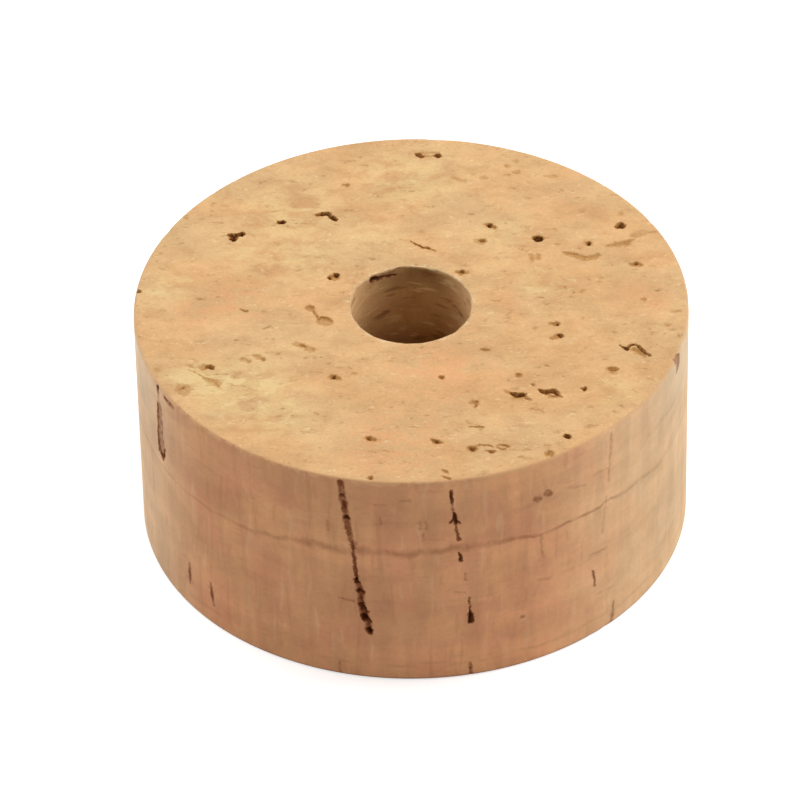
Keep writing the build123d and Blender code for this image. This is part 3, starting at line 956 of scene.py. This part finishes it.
def wall_finish():
    """Cut along the pores: level growth lines, faint upright streaks and soft layers."""
    cork = Finish("cork_wall")
    streaks = cork.grain((1.0, 1.0, 0.14), 3, 0.5, 0.4)
    layers = cork.grain((0.2, 0.2, 0.5), 4, 0.55, 0.4)
    crumbs = cork.grain((5, 5, 6), 3, 0.6)
    bend = cork.swing((0.3, 0.3, 0.05), 4, 0.6)
    # Masks of the painted light: towards the right, and behind where the painted front shade gives way.
    painted_light_to_right = cork.ease(cork.x, 0.35 * outer_mm, 0.95 * outer_mm)
    behind = cork.ease(cork.y, 0.0, 0.6 * outer_mm)
    tint = wall_hue_with_painted_light(cork, painted_light_to_right, behind)
    tint = cork.tone(tint, cork.ease(layers, 0.3, 0.7, 0.90, 1.08))
    tint = cork.tone(tint, cork.ease(streaks, 0.3, 0.7, 0.93, 1.06))
    on_painted_lit_side = cork.calculate("MAXIMUM", painted_light_to_right, behind)
    tint = fine_lines(cork, tint, cork.ease(on_painted_lit_side, 0.0, 1.0, 1.0, 0.4))
    tint = cork.tone(tint, cork.ease(crumbs, 0.25, 0.75, 0.96, 1.03))
    tint = cork.blend(crumbled_edge(cork, 0.9, 0.04, 0.16, 0.65), tint, "deae7c")
    tint = cork.blend(main_growth_line(cork), tint, "804522")
    for line in growth_lines:
        tint = cork.blend(growth_line(cork, bend, *line), tint, "7e4f30")
    # Painted contact shadow: a thin dark line along the foot of the wall.
    tint = cork.tone(tint, cork.ease(cork.z, 0.06, 0.18, 0.5, 1.0))
    relief = cork.plus(cork.times(streaks, 0.03), cork.times(crumbs, 0.02))
    return cork.finish(cork.pores(tint, 0.2, "8a5230", "5a2608"), relief, 0.5, 0.6)


def bore_finish():
    """Torn level grain of the drilled bore, with painted light paler at its two sides, a painted shadow
    under its far upper mouth and painted shade darker low down.
    """
    cork = Finish("cork_bore")
    x, y, z, reach, top = cork.x, cork.y, cork.z, bore_mm, height_mm
    clouds = cork.grain((0.5, 0.5, 0.35), 3, 0.55, 0.5)
    torn = cork.grain((0.6, 0.6, 2.4), 2, 0.55, 0.3)
    crumbs = cork.grain((6, 6, 8), 2, 0.6)
    tint = cork.blend(cork.ease(clouds, 0.35, 0.65), "b6864c", "c79c66")
    # Painted shadow under the far upper mouth of the bore.
    painted_shadow_far_top = cork.times(cork.ease(z, 0.86 * top, 0.98 * top, 0.0, 0.5), cork.ease(y, 0.0, reach))
    tint = cork.blend(painted_shadow_far_top, tint, "6e4520")
    # Painted light: paler at the bore's two sides.
    painted_light_aside = cork.plus(cork.ease(x, 0.1 * reach, -reach, 0.0, 0.85), cork.ease(x, 0.4 * reach, reach))
    tint = cork.blend(painted_light_aside, tint, "ddb382")
    # Painted shade: darker low down in the bore.
    tint = cork.blend(cork.ease(z, 0.6 * top, 0.75 * top, 0.5, 0.0), tint, "7a3f1c")
    tint = cork.blend(cork.ease(torn, 0.28, 0.44, 0.6, 0.0), tint, "7c4e26")
    tint = cork.blend(cork.ease(torn, 0.57, 0.68, 0.0, 0.55), tint, "ecc893")
    tint = cork.tone(tint, cork.ease(crumbs, 0.25, 0.75, 0.93, 1.05))
    tint = cork.blend(crumbled_edge(cork, 0.6, -0.03, 0.04, 0.3), tint, "f0d8ae")
    broken = cork.ease(cork.grain((1.3, 1.3, 1.3), 2, 0.6), 0.42, 0.58, 0.85, 1.0)
    tint = cork.tone(tint, cork.ease(z, top - 0.14, top - 0.06, 1.0, broken))
    relief = cork.plus(cork.times(torn, 0.06), cork.times(crumbs, 0.02))
    return cork.finish(cork.pores(tint, 0.2, "8a5430", "4a2208"), relief, 0.6, 0.8)


def seen_directly(nodes):
    """1 for what the camera sees itself, mirrored or through glass, otherwise 0."""
    path = nodes.add("LightPath", {}).outputs
    seen = nodes.calculate("MAXIMUM", path["Is Camera Ray"], path["Is Glossy Ray"])
    return nodes.calculate("MAXIMUM", seen, path["Is Transmission Ray"])


def white_ground():
    """A plain white floor that keeps the disc's shadow."""
    mesh = bpy.data.meshes.new("floor")
    ways = ((-1, -1), (1, -1), (1, 1), (-1, 1))
    mesh.from_pydata([(x * floor_reach, y * floor_reach, 0) for x, y in ways], [], [(0, 1, 2, 3)])
    floor = bpy.data.objects.new("floor", mesh)
    bpy.context.scene.collection.objects.link(floor)
    material = bpy.data.materials.new("white_floor")
    nodes = Nodes(material)
    nodes.feed(nodes.tree.nodes["Principled BSDF"], {
        "Base Color": (floor_grey, floor_grey, floor_grey, 1),
        "Roughness": 0.9,
        "Specular IOR Level": 0.1,
        "Emission Color": (1, 1, 1, 1),
        "Emission Strength": nodes.times(seen_directly(nodes), floor_light),
    })
    mesh.materials.append(material)


def white_world():
    """White all round where it is seen, and a soft fill as a light."""
    world = bpy.data.worlds.new("white_room")
    bpy.context.scene.world = world
    nodes = Nodes(world)
    fill = nodes.add("MapRange", {"Value": seen_directly(nodes), "To Min": world_fill, "To Max": 1.0})
    nodes.feed(nodes.tree.nodes["Background"], {"Color": (1, 1, 1, 1), "Strength": fill.outputs["Result"]})


def softbox(name, bearing, elevation, distance, side, power):
    """A square soft lamp that faces the disc from a bearing and an elevation."""
    lamp = bpy.data.lights.new(name, "AREA")
    lamp.size = side
    lamp.energy = power
    holder = bpy.data.objects.new(name, lamp)
    turned, raised = math.radians(bearing), math.radians(elevation)
    out = math.cos(raised)
    way = Vector((math.cos(turned) * out, math.sin(turned) * out, math.sin(raised)))
    holder.location = Vector((0, 0, height / 2)) + way * distance
    holder.rotation_euler = way.to_track_quat("Z", "Y").to_euler()
    bpy.context.scene.collection.objects.link(holder)


def camera():
    """The photograph's viewpoint, aimed so that the upper face's middle falls on its own pixel."""
    data = bpy.data.cameras.new("camera")
    data.sensor_fit = "HORIZONTAL"
    data.sensor_width = sensor_width
    data.lens = focal_pixels / frame_pixels * sensor_width
    data.clip_start = camera_near
    holder = bpy.data.objects.new("camera", data)
    middle = frame_pixels / 2
    yaw = math.atan2(target_pixel[0] - middle, focal_pixels)
    pitch = math.atan2(target_pixel[1] - middle, focal_pixels)
    level = Matrix.Rotation(math.radians(90) - camera_elevation, 3, "X")
    turned = level @ Matrix.Rotation(camera_roll, 3, "Z")
    turned = turned @ Matrix.Rotation(yaw, 3, "Y") @ Matrix.Rotation(pitch, 3, "X")
    away = level @ Vector((0, 0, camera_distance))
    holder.matrix_world = Matrix.Translation(Vector((0, 0, height)) + away) @ turned.to_4x4()
    bpy.context.scene.collection.objects.link(holder)
    bpy.context.scene.camera = holder


piece = cork_body([end_finish(), wall_finish(), bore_finish()])
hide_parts("cork_disc")
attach(piece, "root")

white_ground()
white_world()
for name, place in lamps.items():
    softbox(name, *place)
camera()
bpy.context.scene.view_settings.view_transform = "Standard"

bpy.context.view_layer.update()
